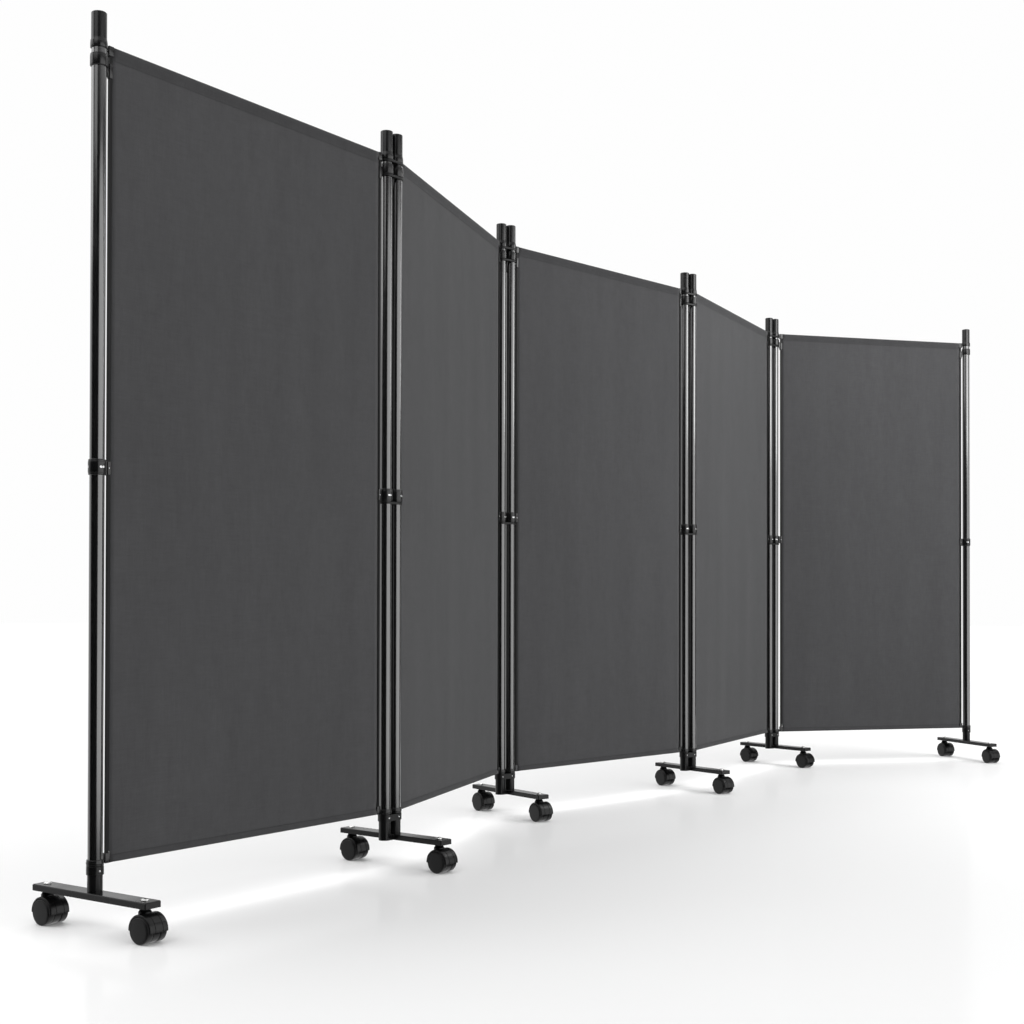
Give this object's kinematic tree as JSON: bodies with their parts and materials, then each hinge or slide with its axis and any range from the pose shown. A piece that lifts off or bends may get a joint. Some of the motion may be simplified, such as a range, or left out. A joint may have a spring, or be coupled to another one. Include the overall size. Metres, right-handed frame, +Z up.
{
  "type": "folding privacy screen",
  "caption": "Folding room divider: fabric leaves on round black posts, hinged in a zigzag on flat feet with twin-wheel casters.",
  "frame": {"origin": "middle of the footprint's bounding box, on the floor", "axes": "+X along the zigzag from the left end post to the right, -Y towards the front, +Z up"},
  "size_m": [4.1704, 0.8448, 1.7264],
  "materials": {
    "stand_black": "satin black powder coat",
    "stem_steel": "bright zinc",
    "post_black": "satin black powder coat",
    "fitting_black": "satin black",
    "rod_black": "satin black",
    "fabric_charcoal": "charcoal woven polyester",
    "link_black": "satin black",
    "hood_grey": "dark grey moulded nylon",
    "wheel_black": "black nylon wheel with a rubber tread"
  },
  "bodies": {
    "leaf_1": {"leaf_1_posts": "post_black", "leaf_1_fittings": "fitting_black", "leaf_1_rods": "rod_black", "leaf_1_fabric": "fabric_charcoal"},
    "leaf_2": {"leaf_2_posts": "post_black", "leaf_2_fittings": "fitting_black", "leaf_2_rods": "rod_black", "leaf_2_fabric": "fabric_charcoal"},
    "leaf_3": {"leaf_3_posts": "post_black", "leaf_3_fittings": "fitting_black", "leaf_3_rods": "rod_black", "leaf_3_fabric": "fabric_charcoal"},
    "leaf_4": {"leaf_4_posts": "post_black", "leaf_4_fittings": "fitting_black", "leaf_4_rods": "rod_black", "leaf_4_fabric": "fabric_charcoal"},
    "leaf_5": {"leaf_5_posts": "post_black", "leaf_5_fittings": "fitting_black", "leaf_5_rods": "rod_black", "leaf_5_fabric": "fabric_charcoal"},
    "stand_1": {"stand_1_frame": "stand_black", "stand_1_stems": "stem_steel"},
    "stand_2": {"stand_2_frame": "stand_black", "stand_2_stems": "stem_steel", "stand_2_links": "link_black"},
    "stand_3": {"stand_3_frame": "stand_black", "stand_3_stems": "stem_steel", "stand_3_links": "link_black"},
    "stand_4": {"stand_4_frame": "stand_black", "stand_4_stems": "stem_steel", "stand_4_links": "link_black"},
    "stand_5": {"stand_5_frame": "stand_black", "stand_5_stems": "stem_steel", "stand_5_links": "link_black"},
    "stand_6": {"stand_6_frame": "stand_black", "stand_6_stems": "stem_steel"},
    "caster_1_front": {"caster_1_front_hood": "hood_grey"},
    "caster_1_front_wheels": {"caster_1_front_wheels": "wheel_black"},
    "caster_1_back": {"caster_1_back_hood": "hood_grey"},
    "caster_1_back_wheels": {"caster_1_back_wheels": "wheel_black"},
    "caster_2_front": {"caster_2_front_hood": "hood_grey"},
    "caster_2_front_wheels": {"caster_2_front_wheels": "wheel_black"},
    "caster_2_back": {"caster_2_back_hood": "hood_grey"},
    "caster_2_back_wheels": {"caster_2_back_wheels": "wheel_black"},
    "caster_3_front": {"caster_3_front_hood": "hood_grey"},
    "caster_3_front_wheels": {"caster_3_front_wheels": "wheel_black"},
    "caster_3_back": {"caster_3_back_hood": "hood_grey"},
    "caster_3_back_wheels": {"caster_3_back_wheels": "wheel_black"},
    "caster_4_front": {"caster_4_front_hood": "hood_grey"},
    "caster_4_front_wheels": {"caster_4_front_wheels": "wheel_black"},
    "caster_4_back": {"caster_4_back_hood": "hood_grey"},
    "caster_4_back_wheels": {"caster_4_back_wheels": "wheel_black"},
    "caster_5_front": {"caster_5_front_hood": "hood_grey"},
    "caster_5_front_wheels": {"caster_5_front_wheels": "wheel_black"},
    "caster_5_back": {"caster_5_back_hood": "hood_grey"},
    "caster_5_back_wheels": {"caster_5_back_wheels": "wheel_black"},
    "caster_6_front": {"caster_6_front_hood": "hood_grey"},
    "caster_6_front_wheels": {"caster_6_front_wheels": "wheel_black"},
    "caster_6_back": {"caster_6_back_hood": "hood_grey"},
    "caster_6_back_wheels": {"caster_6_back_wheels": "wheel_black"}
  },
  "joints": [
    {"name": "leaf_3_left_hinge", "type": "hinge", "parent": "stand_3", "child": "leaf_3", "pos_m": [-0.39025, 0.15294, 0.076], "axis": [0, 0, -1], "range_deg": [-82, 98]},
    {"name": "leaf_2_right_hinge", "type": "hinge", "parent": "stand_3", "child": "leaf_2", "pos_m": [-0.4235, 0.16001, 0.076], "axis": [0, 0, 1], "range_deg": [-125.5, 54.5]},
    {"name": "leaf_2_left_hinge", "type": "hinge", "parent": "leaf_2", "child": "stand_2", "pos_m": [-1.18466, -0.17095, 0.076], "axis": [0, 0, -1], "range_deg": [-110.5, 69.5]},
    {"name": "leaf_1_right_hinge", "type": "hinge", "parent": "stand_2", "child": "leaf_1", "pos_m": [-1.21862, -0.17273, 0.076], "axis": [0, 0, -1], "range_deg": [-88, 92]},
    {"name": "leaf_1_left_pivot", "type": "hinge", "parent": "leaf_1", "child": "stand_1", "pos_m": [-2.04546, -0.24507, 0.076], "axis": [0, 0, 1], "range_deg": [-91, 89]},
    {"name": "leaf_3_right_hinge", "type": "hinge", "parent": "leaf_3", "child": "stand_4", "pos_m": [0.43773, 0.09504, 0.076], "axis": [0, 0, 1], "range_deg": [-81.5, 98.5]},
    {"name": "leaf_4_left_hinge", "type": "hinge", "parent": "stand_4", "child": "leaf_4", "pos_m": [0.47092, 0.08768, 0.076], "axis": [0, 0, 1], "range_deg": [-115, 65]},
    {"name": "leaf_4_right_hinge", "type": "hinge", "parent": "leaf_4", "child": "stand_5", "pos_m": [1.28125, 0.26733, 0.076], "axis": [0, 0, -1], "range_deg": [-112, 68]},
    {"name": "leaf_5_left_hinge", "type": "hinge", "parent": "stand_5", "child": "leaf_5", "pos_m": [1.31479, 0.26171, 0.076], "axis": [0, 0, -1], "range_deg": [-110, 58]},
    {"name": "leaf_5_right_pivot", "type": "hinge", "parent": "leaf_5", "child": "stand_6", "pos_m": [1.9905, -0.22027, 0.076], "axis": [0, 0, 1], "range_deg": [-97, 83]},
    {"name": "caster_1_front_swivel", "type": "hinge", "parent": "stand_1", "child": "caster_1_front", "pos_m": [-2.03103, -0.38232, 0.064], "axis": [0, 0, 1], "continuous": true},
    {"name": "caster_1_front_spin", "type": "hinge", "parent": "caster_1_front", "child": "caster_1_front_wheels", "pos_m": [-2.03009, -0.39127, 0.025], "axis": [0.9945, 0.1045, 0], "continuous": true},
    {"name": "caster_1_back_swivel", "type": "hinge", "parent": "stand_1", "child": "caster_1_back", "pos_m": [-2.05988, -0.10783, 0.064], "axis": [0, 0, 1], "continuous": true},
    {"name": "caster_1_back_spin", "type": "hinge", "parent": "caster_1_back", "child": "caster_1_back_wheels", "pos_m": [-2.05894, -0.11678, 0.025], "axis": [0.9945, 0.1045, 0], "continuous": true},
    {"name": "caster_2_front_swivel", "type": "hinge", "parent": "stand_2", "child": "caster_2_front", "pos_m": [-1.17744, -0.30877, 0.064], "axis": [0, 0, 1], "continuous": true},
    {"name": "caster_2_front_spin", "type": "hinge", "parent": "caster_2_front", "child": "caster_2_front_wheels", "pos_m": [-1.17697, -0.31775, 0.025], "axis": [0.9986, 0.0523, 0], "continuous": true},
    {"name": "caster_2_back_swivel", "type": "hinge", "parent": "stand_2", "child": "caster_2_back", "pos_m": [-1.19189, -0.03314, 0.064], "axis": [0, 0, 1], "continuous": true},
    {"name": "caster_2_back_spin", "type": "hinge", "parent": "caster_2_back", "child": "caster_2_back_wheels", "pos_m": [-1.19141, -0.04213, 0.025], "axis": [0.9986, 0.0523, 0], "continuous": true},
    {"name": "caster_3_front_swivel", "type": "hinge", "parent": "stand_3", "child": "caster_3_front", "pos_m": [-0.41894, 0.01795, 0.064], "axis": [0, 0, 1], "continuous": true},
    {"name": "caster_3_front_spin", "type": "hinge", "parent": "caster_3_front", "child": "caster_3_front_wheels", "pos_m": [-0.42081, 0.00915, 0.025], "axis": [0.9781, -0.2079, 0], "continuous": true},
    {"name": "caster_3_back_swivel", "type": "hinge", "parent": "stand_3", "child": "caster_3_back", "pos_m": [-0.36156, 0.28792, 0.064], "axis": [0, 0, 1], "continuous": true},
    {"name": "caster_3_back_spin", "type": "hinge", "parent": "caster_3_back", "child": "caster_3_back_wheels", "pos_m": [-0.36343, 0.27912, 0.025], "axis": [0.9781, -0.2079, 0], "continuous": true},
    {"name": "caster_4_front_swivel", "type": "hinge", "parent": "stand_4", "child": "caster_4_front", "pos_m": [0.44106, -0.04705, 0.064], "axis": [0, 0, 1], "continuous": true},
    {"name": "caster_4_front_spin", "type": "hinge", "parent": "caster_4_front", "child": "caster_4_front_wheels", "pos_m": [0.43911, -0.05583, 0.025], "axis": [0.9763, -0.2164, 0], "continuous": true},
    {"name": "caster_4_back_swivel", "type": "hinge", "parent": "stand_4", "child": "caster_4_back", "pos_m": [0.50079, 0.22241, 0.064], "axis": [0, 0, 1], "continuous": true},
    {"name": "caster_4_back_spin", "type": "hinge", "parent": "caster_4_back", "child": "caster_4_back_wheels", "pos_m": [0.49885, 0.21362, 0.025], "axis": [0.9763, -0.2164, 0], "continuous": true},
    {"name": "caster_5_front_swivel", "type": "hinge", "parent": "stand_5", "child": "caster_5_front", "pos_m": [1.29201, 0.12561, 0.064], "axis": [0, 0, 1], "continuous": true},
    {"name": "caster_5_front_spin", "type": "hinge", "parent": "caster_5_front", "child": "caster_5_front_wheels", "pos_m": [1.29052, 0.11673, 0.025], "axis": [0.9863, -0.165, 0], "continuous": true},
    {"name": "caster_5_back_swivel", "type": "hinge", "parent": "stand_5", "child": "caster_5_back", "pos_m": [1.33756, 0.39782, 0.064], "axis": [0, 0, 1], "continuous": true},
    {"name": "caster_5_back_spin", "type": "hinge", "parent": "caster_5_back", "child": "caster_5_back_wheels", "pos_m": [1.33608, 0.38894, 0.025], "axis": [0.9863, -0.165, 0], "continuous": true},
    {"name": "caster_6_front_swivel", "type": "hinge", "parent": "stand_6", "child": "caster_6_front", "pos_m": [1.92465, -0.34155, 0.064], "axis": [0, 0, 1], "continuous": true},
    {"name": "caster_6_front_spin", "type": "hinge", "parent": "caster_6_front", "child": "caster_6_front_wheels", "pos_m": [1.92036, -0.34946, 0.025], "axis": [0.8788, -0.4772, 0], "continuous": true},
    {"name": "caster_6_back_swivel", "type": "hinge", "parent": "stand_6", "child": "caster_6_back", "pos_m": [2.05635, -0.09899, 0.064], "axis": [0, 0, 1], "continuous": true},
    {"name": "caster_6_back_spin", "type": "hinge", "parent": "caster_6_back", "child": "caster_6_back_wheels", "pos_m": [2.05205, -0.1069, 0.025], "axis": [0.8788, -0.4772, 0], "continuous": true}
  ]
}
